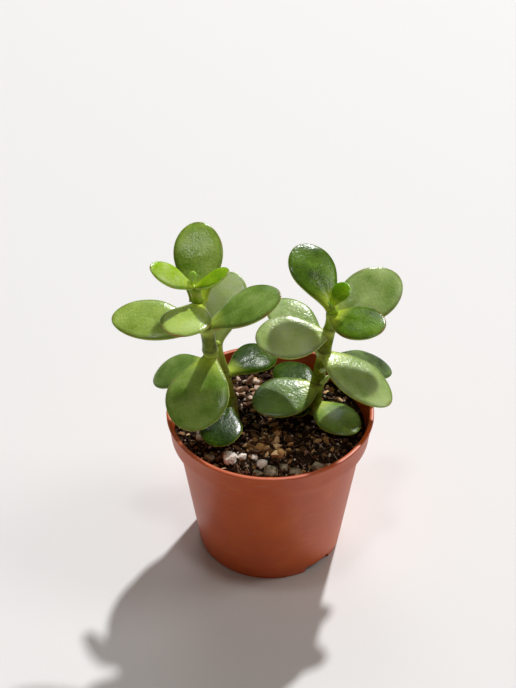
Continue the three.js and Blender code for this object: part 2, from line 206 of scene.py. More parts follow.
# Lays tints over a colour in turn. Each tint is how much of it (a socket) and its own colour.
def layTints(material, colour, tints):
    for amount, hexText in tints:
        node = addNode(material, "ShaderNodeMix", {"data_type": "RGBA", mixB: hexText},
                       {mixFactor: amount, mixA: colour})
        colour = node.outputs[mixResult]
    return colour


# Matt pale grey card: a plain ground that takes soft shadows and hardly shines.
def paperFloor():
    material = newMaterial("matt_card")
    return finishMaterial(material, {"Base Color": studio["floorColour"], "Roughness": 0.9}, {})


# Pot

pot = {
    "floor": 1.5,
    # outer half, radius and height, from the foot to the lip, then down inside to the floor
    "profile": [(0, 0), (30.2, 0), (31.1, 0), (31.75, 0.25), (32, 0.9), (40.5, 59.1), (40.75, 59.65),
                (41.2, 59.95), (42.7, 60), (43.05, 60.15), (43.2, 60.5), (44.3, 69.9), (44.45, 70.45),
                (44.85, 70.65), (45, 71), (45, 71.5), (44.85, 71.85), (44.5, 72), (43.5, 72),
                (43.15, 71.85), (43, 71.5), (43, 70.4), (41.9, 61.5), (41.6, 60.6), (39.2, 59.5),
                (30.7, 1.5), (0, 1.5)],
    # height and inner radius, from the floor up to the lip
    "inside": [(1.5, 30.7), (59.5, 39.2), (61.5, 41.9), (70.4, 43), (72, 43)],
    "ringSpacing": 3,
    "steps": 200,
    "sharp": 34,
    "slots": 2,
    "slotAngle": -48,
    "slotRadius": 32,
    "slotWidth": 14,
    "slotHeight": 3.2,
    "slotReach": 5,
    "slotRound": 1.2,
    "slotRoundSteps": 4,
}


def innerRadius(height):
    stations = pot["inside"]
    for (low, lowRadius), (high, highRadius) in zip(stations, stations[1:]):
        if height <= high:
            return mix(lowRadius, highRadius, (height - low) / (high - low))
    return stations[-1][1]


# Turns a half profile of (radius, height) round the upright axis into a closed body.
def spinProfile(bm, profile, steps):
    corners = [bm.verts.new((radius * mm, 0, height * mm)) for radius, height in profile]
    edges = [bm.edges.new(pair) for pair in zip(corners, corners[1:])]
    bmesh.ops.spin(bm, geom=corners + edges, cent=(0, 0, 0), axis=(0, 0, 1), angle=math.tau,
                   steps=steps, use_merge=True)
    bmesh.ops.remove_doubles(bm, verts=bm.verts, dist=0.001 * mm)
    bmesh.ops.recalc_face_normals(bm, faces=bm.faces)


# Adds points to a profile so that no stretch of it is longer than this.
def finerProfile(profile, longest):
    finer = []
    for (r0, h0), (r1, h1) in zip(profile, profile[1:]):
        parts = max(1, math.ceil(math.hypot(r1 - r0, h1 - h0) / longest))
        finer += [(mix(r0, r1, i / parts), mix(h0, h1, i / parts)) for i in range(parts)]
    return finer + [profile[-1]]


# Gives a piece the mesh that its modifiers show, and takes them off.
def applyModifiers(piece):
    shown = bpy.context.evaluated_depsgraph_get()
    mesh = bpy.data.meshes.new_from_object(piece.evaluated_get(shown))
    piece.modifiers.clear()
    piece.data = mesh


# Blocks that cut the drain slots out of the foot, with the edges that run outwards rounded
def drainCutter():
    alongside = 0.9  # the least cosine between an edge and a direction that it runs along

    def shape(bm):
        for i in range(pot["slots"]):
            turn = math.radians(pot["slotAngle"]) + math.tau * i / pot["slots"]
            size = Matrix.Diagonal((2 * pot["slotReach"] * mm, pot["slotWidth"] * mm,
                                    2 * pot["slotHeight"] * mm, 1))
            place = Matrix.Rotation(turn, 4, "Z") @ Matrix.Translation((pot["slotRadius"] * mm, 0, 0))
            made = bmesh.ops.create_cube(bm, size=1, matrix=place @ size)
            edges = {edge for vert in made["verts"] for edge in vert.link_edges}
            outward = Matrix.Rotation(turn, 3, "Z") @ Vector((1, 0, 0))
            ways = {edge: (edge.verts[0].co - edge.verts[1].co).normalized() for edge in edges}
            ends = [edge for edge in edges if abs(ways[edge].dot(outward)) > alongside]
            bmesh.ops.bevel(bm, geom=ends, offset=pot["slotRound"] * mm, affect="EDGES",
                            segments=pot["slotRoundSteps"], profile=0.5, material=-1)

    return addPiece("drainCutter", shape)


def makePot(material):
    profile = finerProfile(pot["profile"], pot["ringSpacing"])
    piece = addPiece("nurseryPot", lambda bm: spinProfile(bm, profile, pot["steps"]))
    cutter = drainCutter()
    cut = piece.modifiers.new("drain", "BOOLEAN")
    cut.operation = "DIFFERENCE"
    cut.solver = "EXACT"
    cut.object = cutter
    applyModifiers(piece)
    bpy.data.objects.remove(cutter)
    piece.data.set_sharp_from_angle(angle=math.radians(pot["sharp"]))
    setPlace(piece, material, "pot_plastic", "nursery_pot")
    print("pot made")


# Potting mix

soil = {
    "level": 62,
    "relief": 1.1,
    "wallGap": 0.4,
    "floorGap": 0.3,
    "footRadius": 30.3,
    "shoulder": [(38.7, 59.2), (40.9, 60.6)],  # radius and height inside the pot's collar
    "waves": [dict(acrossX=30, acrossY=-55, shift=1.3, share=0.6),
              dict(acrossX=20, acrossY=21, shift=0, share=0.3),
              dict(acrossX=-34, acrossY=13, shift=2, share=0.25)],
    "levelRim": 6,  # a power: the higher, the nearer to the wall the waves reach
    "steps": 280,
    "rings": 120,
    "roughness": 1.3,
    "clod": 4.5,
    "fractal": (0.7, 2.2, 4),  # fall-off, step in scale and octaves
    "rimFade": 2.5,
    "rimDrop": 0.4,
}


def soilHeight(x, y):
    reach = math.hypot(x, y) / innerRadius(soil["level"])
    swell = 0
    for wave in soil["waves"]:
        turn = math.tau * (x / wave["acrossX"] + y / wave["acrossY"]) + wave["shift"]
        swell += wave["share"] * math.sin(turn)
    return soil["level"] + soil["relief"] * swell * (1 - min(reach, 1) ** soil["levelRim"])


def soilRelief(x, y):
    coarse = noise.fractal(Vector((x, y, 0)) / soil["clod"], *soil["fractal"])
    return soilHeight(x, y) + soil["roughness"] * coarse


def makeSoil(material):
    edge = innerRadius(soil["level"]) - soil["wallGap"]
    foot = pot["floor"] + soil["floorGap"]
    top = [(edge * (1 - i / soil["rings"]), soil["level"]) for i in range(soil["rings"] + 1)]
    side = [(0, foot), (soil["footRadius"], foot)] + soil["shoulder"]
    justUnder = soil["level"] - 0.1

    def shape(bm):
        spinProfile(bm, side + top, soil["steps"])
        for vert in bm.verts:
            x, y, z = vert.co / mm
            if z > justUnder:
                fade = clamp((edge - math.hypot(x, y)) / soil["rimFade"])
                vert.co.z = mix(soil["level"] - soil["rimDrop"], soilRelief(x, y), fade) * mm

    piece = addPiece("pottingMix", shape)
    setPlace(piece, material, "peat_and_bark", "potting_mix")
    print("potting mix made")


# Crumbs of the mix: each kind is one piece of many small loose bits. Long is half a bit's length,
# and wide and flat are shares of it. A kind with a zone (x, y, radius) lies there only.
crumbKinds = {
    "peatCrumbs": dict(count=1700, seed=3, long=(0.4, 1.6), wide=(0.5, 0.9), flat=(0.6, 1), rough=0.3,
                       sink=0.3, material="peat"),
    "barkChips": dict(count=200, seed=7, long=(1.1, 3.2), wide=(0.4, 0.75), flat=(0.25, 0.5), rough=0.22,
                      sink=0.1, material="bark"),
    "barkLumps": dict(count=90, seed=23, long=(0.8, 2.9), wide=(0.4, 0.8), flat=(0.5, 0.8), rough=0.3,
                      sink=0.0, zone=(-1, -13, 10), material="bark"),
    "coirLumps": dict(count=60, seed=29, long=(0.9, 2.6), wide=(0.5, 0.9), flat=(0.4, 0.8), rough=0.26,
                      sink=0.0, zone=(-13, 21, 10), material="coir"),
    "paleSpecks": dict(count=330, seed=31, long=(0.3, 0.95), wide=(0.6, 0.95), flat=(0.6, 1), rough=0.25,
                       sink=0.0, material="coir"),
    "perliteCrumbs": dict(count=80, seed=12, long=(0.35, 1.05), wide=(0.7, 1), flat=(0.7, 1), rough=0.2,
                          sink=0.05, material="perlite"),
    "gritCrumbs": dict(count=80, seed=19, long=(0.5, 1.4), wide=(0.6, 0.9), flat=(0.5, 0.8), rough=0.14,
                       sink=0.05, material="grit"),
}
crumbForm = {
    "reach": 40.2,
    "smallBias": 2.2,
    "tilt": 0.5,
    "sharp": 50,
}


def freeSpot(draw, zone):
    while True:
        turn = math.tau * draw.random()
        reach = zone[2] * math.sqrt(draw.random())
        x, y = zone[0] + reach * math.cos(turn), zone[1] + reach * math.sin(turn)
        if math.hypot(x, y) < crumbForm["reach"]:
            return x, y


def makeCrumbs(name, kind, material, slot):
    draw = random.Random(kind["seed"])
    tilt = crumbForm["tilt"]

    def shape(bm):
        tone = bm.verts.layers.float.new("tone")
        for _ in range(kind["count"]):
            x, y = freeSpot(draw, kind.get("zone", (0, 0, crumbForm["reach"])))
            size = mix(*kind["long"], draw.random() ** crumbForm["smallBias"])
            squash = mix(*kind["flat"], draw.random())
            turn = Euler((draw.uniform(-tilt, tilt), draw.uniform(-tilt, tilt), draw.uniform(0, math.tau)))
            lift = size * squash * (1 - 2 * kind["sink"])
            centre = Vector((x, y, soilRelief(x, y) + lift)) * mm
            form = Matrix.Diagonal((size, size * mix(*kind["wide"], draw.random()), size * squash, 1))
            place = Matrix.Translation(centre) @ turn.to_matrix().to_4x4() @ Matrix.Scale(mm, 4) @ form
            made = bmesh.ops.create_icosphere(bm, subdivisions=1, radius=1)
            crumbTone = draw.random()
            for vert in made["verts"]:
                vert.co = place @ (vert.co * (1 + kind["rough"] * draw.uniform(-1, 1)))
                vert[tone] = crumbTone

    setPlace(addPiece(name, shape, sharp=crumbForm["sharp"]), material, slot)


# Thin bent strands of coir lying about on the mix
strands = {
    "count": 240,
    "seed": 41,
    "long": (1.2, 4.2),
    "shortBias": 2,
    "radius": (0.08, 0.17),
    "bend": 0.35,
    "tilt": 0.35,
    "slope": 0.3,
    "lift": 0.45,
    "sides": 4,
    "rings": 6,
}


def makeStrands(material):
    draw = random.Random(strands["seed"])

    def shape(bm):
        tone = bm.verts.layers.float.new("tone")
        for _ in range(strands["count"]):
            x, y = freeSpot(draw, (0, 0, crumbForm["reach"] - strands["long"][1]))
            half = mix(*strands["long"], draw.random() ** strands["shortBias"])
            radius = mix(*strands["radius"], draw.random())
            tilt = draw.uniform(-strands["tilt"], strands["tilt"])
            slope = math.pi / 2 + draw.uniform(-strands["slope"], strands["slope"])
            turn = Euler((tilt, slope, draw.uniform(0, math.tau)))
            centre = Vector((x, y, soilRelief(x, y) + strands["lift"])) * mm
            place = Matrix.Translation(centre) @ turn.to_matrix().to_4x4() @ Matrix.Scale(mm, 4)
            bend = half * strands["bend"] * draw.uniform(-1, 1)
            made = bmesh.ops.create_uvsphere(bm, u_segments=strands["sides"],
                                             v_segments=strands["rings"], radius=1)
            strandTone = draw.random()
            for vert in made["verts"]:
                across, side, along = vert.co
                bow = bend * (1 - along ** 2)
                vert.co = place @ Vector((across * radius + bow, side * radius, along * half))
                vert[tone] = strandTone

    setPlace(addPiece("coirStrands", shape), material, "peat_and_bark")
    print("crumbs and strands made")


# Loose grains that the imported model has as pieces: place, and radius before roughening.
perliteGrains = [(-17, -22.5, 3.4), (-12, -21.3, 1.9), (-7, -20.8, 1.5), (-3.7, -24.6, 2.5),
                 (4.5, 27, 2.2), (-30.5, -8.5, 1.8)]
pebbleGrains = [(0.3, -29.6, 3.1), (-5.5, -31.5, 2.2), (10.5, -30.5, 2.4), (20, -26.8, 2.6),
                (5.5, -27, 1.8), (-26, -20.5, 2.4)]
grain = {
    "squash": 0.78,
    "sink": 0.35,
    "fineness": 6,
    "sideFlats": (0.95, 1.1),
    "otherFlats": (0.86, 1.06),
    "noiseShift": 3.1,
    "perlite": dict(facets=26, sharpness=16, lumps=0.12, cell=0.34, firstSeed=1),
    "pebble": dict(facets=15, sharpness=14, lumps=0.07, cell=0.7, firstSeed=11),
}


# Random flats that cut a ball into a worn stone: each is a direction and its distance from the middle.
def stoneFlats(draw, count):
    flats = []
    for side in (Vector((1, 0, 0)), Vector((0, 1, 0)), Vector((0, 0, 1))):
        flats += [(way, draw.uniform(*grain["sideFlats"])) for way in (side, -side)]
    for _ in range(count):
        way = Vector((draw.gauss(0, 1), draw.gauss(0, 1), draw.gauss(0, 1))).normalized()
        flats.append((way, draw.uniform(*grain["otherFlats"])))
    return flats


# A smooth blend of the flats rounds the stone's edges: the higher the sharpness, the less.
def makeGrain(name, node, place, look, material, slot, seed):
    x, y, radius = place
    flats = stoneFlats(random.Random(seed), look["facets"])
    sharpness = look["sharpness"]

    def shape(bm):
        bmesh.ops.create_icosphere(bm, subdivisions=grain["fineness"], radius=1)
        centre = Vector((x, y, soilHeight(x, y) + radius * grain["squash"] * grain["sink"]))
        for vert in bm.verts:
            way = vert.co.normalized()
            total = sum(max(way.dot(flat) / far, 0) ** sharpness for flat, far in flats)
            lump = noise.noise(way / look["cell"] + Vector((seed * grain["noiseShift"], 0, 0)))
            reach = radius * (total ** (-1 / sharpness) + look["lumps"] * lump)
            vert.co = (centre + Vector((way.x, way.y, way.z * grain["squash"])) * reach) * mm

    setPlace(addPiece(name, shape), material, slot, node)


def makeGrains(kind, places, material):
    look = grain[kind]
    for i, place in enumerate(places):
        seed = look["firstSeed"] + i
        makeGrain(f"{kind}{i + 1}", f"{kind}_{i + 1}", place, look, material, kind, seed)
    print(kind, "grains made")


# Stems: stations of (x, y, z, radius) up each stem, and the heights of its leaf rings

stems = {
    "left": dict(node="left_stem", rings=[105.8, 118.5, 131.6, 138],
                 axis=[(-21.4, 17, 50, 3.3), (-22.2, 12.6, 63, 3.3), (-23.4, 7, 80, 3.2),
                       (-25, 0.5, 100, 3.1), (-26.5, -0.3, 115, 3), (-29.2, -0.5, 128, 2.7),
                       (-31.6, -0.5, 139, 2)]),
    "back": dict(node="left_back_stem", pale=0.8, rings=[72, 85, 100],
                 axis=[(-14.4, 4.5, 50, 1.9), (-15.4, 7.3, 62, 1.8), (-17.2, 9.6, 74, 1.7),
                       (-19, 10.5, 83, 1.6), (-21.6, 10.5, 95, 1.5), (-22.6, 10.5, 101.5, 1.3)]),
    "right": dict(node="right_stem", rings=[66.5, 78.8, 96.3, 109, 117.5],
                  axis=[(18.9, 9.5, 50, 3.1), (19.4, 10, 64, 3.1), (20.8, 11.5, 78, 2.9),
                        (22.9, 11, 93.5, 2.8), (25, 10.5, 106, 2.5), (26.2, 10, 119.5, 2.2)]),
}
stemForm = {
    "sides": 44,
    "steps": 240,
    "ringTilt": 0.5,
    "tiltPitch": 0.09,
    "tiltRow": 3,  # the row of noise that the rings tilt by
    "swell": 0.4,
    "swellDrop": 1,
    "swellSpread": 1.7,
    "groove": 0.34,
    "grooveSpread": 0.3,
    "collarDrop": 2.6,
    "collarSpread": 1.9,
    "domeShare": 0.03,
    "footClose": 60,
    "wander": 0.16,
    "wanderPitch": 0.13,
    "wanderScale": 1.4,
}
tiny = 1e-6  # a length with no direction


# A point on a smooth path through the stations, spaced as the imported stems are.
def pathPoint(points, along):
    last = len(points) - 1
    place = along * last
    start = min(int(place), last - 1)
    share = place - start
    p1, p2 = points[start], points[start + 1]
    p0 = points[start - 1] if start > 0 else p1 * 2 - p2
    p3 = points[start + 2] if start + 2 <= last else p2 * 2 - p1
    d0, d1, d2 = (math.sqrt((b - a).length) for a, b in ((p0, p1), (p1, p2), (p2, p3)))
    slope1 = ((p1 - p0) / d0 - (p2 - p0) / (d0 + d1) + (p2 - p1) / d1) * d1
    slope2 = ((p2 - p1) / d1 - (p3 - p1) / (d1 + d2) + (p3 - p2) / d2) * d1
    curve2 = (p2 - p1) * 3 - slope1 * 2 - slope2
    curve3 = (p1 - p2) * 2 + slope1 + slope2
    return p1 + slope1 * share + curve2 * share ** 2 + curve3 * share ** 3


def makeStem(name, stem, material):
    points = [Vector(station[:3]) for station in stem["axis"]]
    radii = [station[3] for station in stem["axis"]]
    bottom, top = points[0].z, points[-1].z
    span = len(radii) - 1

    def shape(bm):
        layers = {key: bm.verts.layers.float.new(key) for key in ("collar", "ring", "high")}
        bmesh.ops.create_uvsphere(bm, u_segments=stemForm["sides"], v_segments=stemForm["steps"], radius=1)
        for vert in bm.verts:
            along = math.acos(max(-1, min(1, -vert.co.z))) / math.pi
            way = Vector((vert.co.x, vert.co.y, 0))
            around = way.normalized() if way.length > tiny else way
            centre = pathPoint(points, along)
            station = min(int(along * span), span - 1)
            radius = mix(radii[station], radii[station + 1], along * span - station)
            lean = noise.noise(Vector((centre.z * stemForm["tiltPitch"], stemForm["tiltRow"], 0)))
            level = centre.z + stemForm["ringTilt"] * around.x * lean
            collar = sum(bell(level, ring - stemForm["collarDrop"], stemForm["collarSpread"])
                         for ring in stem["rings"])
            groove = sum(bell(level, ring, stemForm["grooveSpread"]) for ring in stem["rings"])
            swell = sum(bell(level, ring - stemForm["swellDrop"], stemForm["swellSpread"])
                        for ring in stem["rings"])
            radius += stemForm["swell"] * swell
            radius -= stemForm["groove"] * groove
            spot = Vector((around.x, around.y, centre.z * stemForm["wanderPitch"]))
            radius += stemForm["wander"] * noise.noise(spot * stemForm["wanderScale"])
            place = clamp((centre.z - bottom) / (top - bottom))
            dome = max(0, 1 - (1 - place) / stemForm["domeShare"])
            radius *= math.sqrt(max(0, 1 - dome ** 2)) * clamp(along * stemForm["footClose"])
            vert.co = (centre + around * radius) * mm
            for key, value in (("collar", collar + stem.get("pale", 0)), ("ring", groove), ("high", place)):
                vert[layers[key]] = clamp(value)
        bmesh.ops.recalc_face_normals(bm, faces=bm.faces)

    setPlace(addPiece(name, shape), material, "stem_skin", stem["node"])


# The point on a stem's axis at a height, on the straight line between its stations
def stemAt(stem, height):
    axis = stem["axis"]
    upper = next((i for i, station in enumerate(axis) if station[2] >= height), len(axis) - 1)
    upper = max(upper, 1)
    low, high = Vector(axis[upper - 1][:3]), Vector(axis[upper][:3])
    return low.lerp(high, (height - low.z) / (high.z - low.z))


# Leaves: each grows out of a stem's axis at a height. Bend is the whole turn from base to tip.
# Tone is how light it is: partly the leaf's own lightness, partly painted light and shade, low for
# leaves that lie in shadow and high for some that the lamps light too little. Bloom is its pale waxy
# film and partly a painted sheen, and flush the red on its margin.

leafForm = {
    "thickness": 3.6,
    "petioleWidth": 3.2,
    "petioleLimit": 0.6,
    "rootThickness": 0.75,
    "middleSwell": 0.35,
    "tipTaper": 0.5,
    "tipBluntness": 5,
    "upperBulge": 0.92,
    "lowerBulge": 1.15,
    "upperFlatness": 2.15,
    "lowerFlatness": 2.2,
    "cup": 0.022,
    "aroundSteps": 88,
    "alongSteps": 60,
    "fullWidth": 16,
    "noiseShift": 17.0,
    "waver": 0.3,
    "waverCell": 9,
    "waverPlace": (0.62, 0.45),  # middle and spread, as shares of the length
    "ribDepth": 0.09,
    "ribWidth": 0.8,
    "ribPlace": (0.3, 0.3),
    "edgeReach": 4,
    "edgeShare": 0.2,
}

leaves = {
    "left_leaf_upright": dict(stem="left", height=130.5, azimuth=91, elevation=37, roll=0,
        length=34.7, width=20.6, bend=10, widest=0.6, taper=0.6, petiole=8,
        tone=0.72, flush=0.5),
    "left_leaf_upper_front": dict(stem="left", height=129.5, azimuth=-108.5, elevation=5, roll=3,
        length=26, width=21.2, bend=12, widest=0.59, taper=0.64,
        tone=0.95, flush=0.8),
    "left_leaf_far_left": dict(stem="left", height=115.5, azimuth=174, elevation=5, roll=-16,
        length=40.2, width=20.8, bend=21, widest=0.58, taper=0.82,
        tone=0.9, flush=0.3),
    "left_leaf_far_right": dict(stem="left", height=116.5, azimuth=3, elevation=28, roll=10,
        length=35.2, width=20.2, bend=16, widest=0.61, taper=0.66, petiole=6,
        tone=0.55, flush=0.6, bloom=0.25),
    "left_leaf_low_front": dict(stem="left", height=102, azimuth=-106, elevation=-26, roll=3,
        length=35.8, width=27.3, bend=10, widest=0.58, taper=0.68, petiole=6,
        tone=0.65, bloom=0.2, flush=0.5),
    "left_leaf_low_left": dict(stem="left", height=98, azimuth=168, elevation=-29.5, roll=-15,
        length=30.3, width=17.2, bend=10, widest=0.6, taper=0.85,
        tone=0.5, bloom=0.3),
    "left_tip_leaf_left": dict(stem="left", height=137.2, azimuth=-168, elevation=37, roll=-20,
        length=22.7, width=11.5, bend=10, widest=0.6, taper=0.75, thickness=3,
        tone=0.65, young=True, flush=0.8),
    "left_tip_leaf_right": dict(stem="left", height=137.2, azimuth=-14, elevation=37, roll=2,
        length=18.3, width=11.8, bend=10, widest=0.6, taper=0.75, thickness=3,
        tone=0.4, young=True, flush=0.7),
    "left_tip_bud": dict(stem="left", height=140.2, azimuth=90, elevation=74, roll=0,
        length=5.2, width=3.2, bend=2, widest=0.6, taper=0.6, thickness=1.8,
        tone=0.6, young=True),
    "back_leaf_top": dict(stem="back", height=99.5, azimuth=78, elevation=37.5, roll=-3,
        length=32.8, width=19.5, bend=10, widest=0.6, taper=0.73, petiole=4,
        tone=1, bloom=0.9),
    # Painted shade: back_leaf_right and back_leaf_front lie in shadow, and their low tones paint it.
    "back_leaf_right": dict(stem="back", height=83, azimuth=42, elevation=-2, roll=7,
        length=27, width=18, bend=10, widest=0.62, taper=0.66, petiole=5,
        tone=0.1, low=True),
    "back_leaf_front": dict(stem="back", height=70.5, azimuth=-102.5, elevation=-2, roll=0,
        length=31, width=18.5, bend=10, widest=0.66, taper=1,
        tone=0),
    "right_leaf_upright": dict(stem="right", height=118.3, azimuth=120.5, elevation=32, roll=1,
        length=32.2, width=20.9, bend=10, widest=0.62, taper=0.64, petiole=6.4,
        tone=0.3),
    "right_leaf_far_right": dict(stem="right", height=111.9, azimuth=34.5, elevation=14.3, roll=29,
        length=37.2, width=23.2, bend=10, widest=0.56, taper=0.62,
        tone=0.7, bloom=0.45, flush=0.4),
    "right_leaf_upper_front": dict(stem="right", height=114.8, azimuth=-35.5, elevation=9.7, roll=13.4,
        length=26.3, width=19, bend=-2, widest=0.54, taper=0.51,
        tone=0.35, flush=0.7),
    "right_tip_leaf": dict(stem="right", height=121.4, azimuth=42, elevation=42, roll=2,
        length=10.6, width=9, bend=10, widest=0.6, taper=0.6, thickness=2.2,
        tone=0.15, young=True),
    "right_tip_bud": dict(stem="right", height=120.15, azimuth=210, elevation=55, roll=0,
        length=4.4, width=1.8, bend=2, widest=0.6, taper=0.6, thickness=1.3,
        tone=0.1, young=True),
    # Painted light: a full tone and a heavy waxy film stand in for light and a highlight on this leaf.
    "right_leaf_upper_left": dict(stem="right", height=104.5, azimuth=-167, elevation=5, roll=-18,
        length=32, width=22.5, bend=2, widest=0.56, taper=0.6,
        tone=1, bloom=0.9, flush=0.3),
    "right_leaf_upper_back": dict(stem="right", height=99, azimuth=140, elevation=14, roll=-10,
        length=32, width=18.6, bend=10, widest=0.6, taper=0.8,
        tone=0.75, bloom=0.6),
    "right_leaf_middle_front": dict(stem="right", height=94, azimuth=-35.8, elevation=-19, roll=-0.5,
        length=36.3, width=22.2, bend=4, widest=0.53, taper=0.6, petiole=5,
        tone=0.75, bloom=0.6, flush=0.4),
    "right_leaf_middle_back": dict(stem="right", height=91, azimuth=13, elevation=-21.5, roll=8,
        length=34, width=16.6, bend=10, widest=0.6, taper=0.8,
        tone=0.15, bloom=0.3),
    "right_leaf_lower_left": dict(stem="right", height=75.6, azimuth=-154, elevation=-1, roll=-12,
        length=31, width=21.5, bend=-4, widest=0.54, taper=0.6,
        tone=0.4, bloom=0.3, flush=0.3),
    # Painted shade: a low tone for a leaf that lies in shadow.
    "right_leaf_lower_back": dict(stem="right", height=72.4, azimuth=135, elevation=3, roll=-4,
        length=24.5, width=16.6, bend=10, widest=0.55, taper=0.88,
        tone=0.1, low=True),
    "right_leaf_lowest": dict(stem="right", height=66.6, azimuth=-47, elevation=-0.6, roll=3,
        length=26, width=18.2, bend=-6, widest=0.53, taper=0.66, petiole=4,
        tone=0.6, bloom=0.3),
    "right_leaf_foot": dict(stem="right", height=65.8, azimuth=-156, elevation=-8, roll=0,
        length=11.5, width=8, bend=6, widest=0.6, taper=0.7, thickness=2.6,
        tone=0),
    # Painted light: tone above one and full bloom brighten the axil buds where they lie in shade.
    "right_axil_bud_upper": dict(stem="right", height=83.5, azimuth=-58, elevation=55, roll=0,
        length=6, width=3.6, bend=2, widest=0.6, taper=0.6, thickness=2.4,
        tone=1.1, young=True, bloom=1),
    "right_axil_bud_lower": dict(stem="right", height=76.8, azimuth=-30, elevation=48, roll=0,
        length=8, width=4.6, bend=2, widest=0.6, taper=0.6, thickness=2.6,
        tone=1.1, young=True, bloom=1),
    "right_axil_bud_left": dict(stem="right", height=91.5, azimuth=-160, elevation=58, roll=0,
        length=6.5, width=3.6, bend=2, widest=0.6, taper=0.6, thickness=2.4,
        tone=1.1, young=True, bloom=1),
}


# A leaf's half width and half thickness at a share of its length
def leafSection(leaf, along):
    power = math.log(0.5) / math.log(leaf["widest"])
    bow = max(math.sin(math.pi * along ** power), 0)
    blade = leaf["width"] / 2 * bow ** (leaf["taper"] if along < leaf["widest"] else leafForm["tipTaper"])
    stalk = min(leaf.get("petiole", leafForm["petioleWidth"]), leaf["width"] * leafForm["petioleLimit"])
    swell = leafForm["rootThickness"] + leafForm["middleSwell"] * math.sin(math.pi * along)
    thickness = leaf.get("thickness", leafForm["thickness"])
    halfThickness = thickness / 2 * math.sqrt(max(1 - along ** leafForm["tipBluntness"], 0)) * swell
    return math.hypot(blade, stalk / 2 * (1 - along) ** 2), halfThickness


# How far a leaf's surface stands above or below its middle sheet, in millimetres
def leafLift(leaf, seed, along, side, across, rise, halfThickness):
    upper = rise > 0
    flatness = leafForm["upperFlatness"] if upper else leafForm["lowerFlatness"]
    bulge = leafForm["upperBulge"] if upper else leafForm["lowerBulge"]
    full = (1 - min(abs(across), 1) ** flatness) ** (1 / flatness)
    lift = math.copysign(bulge * halfThickness * full, rise)
    lift += leafForm["cup"] * leaf["width"] * (side / (leaf["width"] / 2)) ** 2
    spot = Vector((along * leaf["length"], side, seed * leafForm["noiseShift"])) / leafForm["waverCell"]
    size = clamp(leaf["width"] / leafForm["fullWidth"])
    lift += leafForm["waver"] * size * noise.noise(spot) * bell(along, *leafForm["waverPlace"])
    if upper:
        rib = size * bell(along, *leafForm["ribPlace"]) * bell(side, 0, leafForm["ribWidth"])
        lift -= leafForm["ribDepth"] * rib
    return lift


# Bends a ball into a leaf: its upright axis becomes the leaf's length, its round becomes the section.
def shapeLeaf(bm, leaf, seed):
    names = ("along", "edge", "upper", "tone", "bloom", "flush")
    layers = {name: bm.verts.layers.float.new(name) for name in names}
    bmesh.ops.create_uvsphere(bm, u_segments=leafForm["aroundSteps"],
                              v_segments=leafForm["alongSteps"], radius=1)
    arch = math.radians(leaf["bend"])
    bendRadius = leaf["length"] / (2 * math.sin(arch / 2))
    edgeReach = min(leafForm["edgeReach"], leaf["width"] * leafForm["edgeShare"])
    turn = (Matrix.Rotation(math.radians(leaf["azimuth"]), 4, "Z")
            @ Matrix.Rotation(math.radians(-leaf["elevation"]), 4, "Y")
            @ Matrix.Rotation(math.radians(leaf["roll"]), 4, "X"))
    root = stemAt(stems[leaf["stem"]], leaf["height"])
    for vert in bm.verts:
        along = (1 - vert.co.z) / 2
        ring = math.hypot(vert.co.x, vert.co.y)
        across = vert.co.x / ring if ring > tiny else 0
        rise = vert.co.y / ring if ring > tiny else 0
        halfWidth, halfThickness = leafSection(leaf, along)
        side = halfWidth * across
        lift = leafLift(leaf, seed, along, side, across, rise, halfThickness)
        slope = arch / 2 - arch * along
        x = bendRadius * (math.sin(arch / 2) - math.sin(slope)) - lift * math.sin(slope)
        z = bendRadius * (math.cos(slope) - math.cos(arch / 2)) + lift * math.cos(slope)
        vert.co = (root + turn @ Vector((x, side, z))) * mm
        inward = min(halfWidth - abs(side), leaf["length"] * (1 - along))
        values = {
            "along": along,
            "edge": clamp(inward / edgeReach),
            "upper": 0.5 + 0.5 * rise,
            "tone": leaf["tone"],
            "bloom": leaf.get("bloom", 0),
            "flush": leaf.get("flush", 0),
        }
        for name, value in values.items():
            vert[layers[name]] = value
    bmesh.ops.recalc_face_normals(bm, faces=bm.faces)


def makeLeaves(mature, low, young):
    for seed, (name, leaf) in enumerate(leaves.items()):
        words = name.split("_")
        pieceName = words[0] + "".join(word.capitalize() for word in words[1:])
        piece = addPiece(pieceName, lambda bm: shapeLeaf(bm, leaf, seed))
        if leaf.get("young"):
            setPlace(piece, young, "new_growth", name)
        else:
            setPlace(piece, low if leaf.get("low") else mature, "leaf_skin", name)
    print("leaves made:", len(leaves))


# Materials

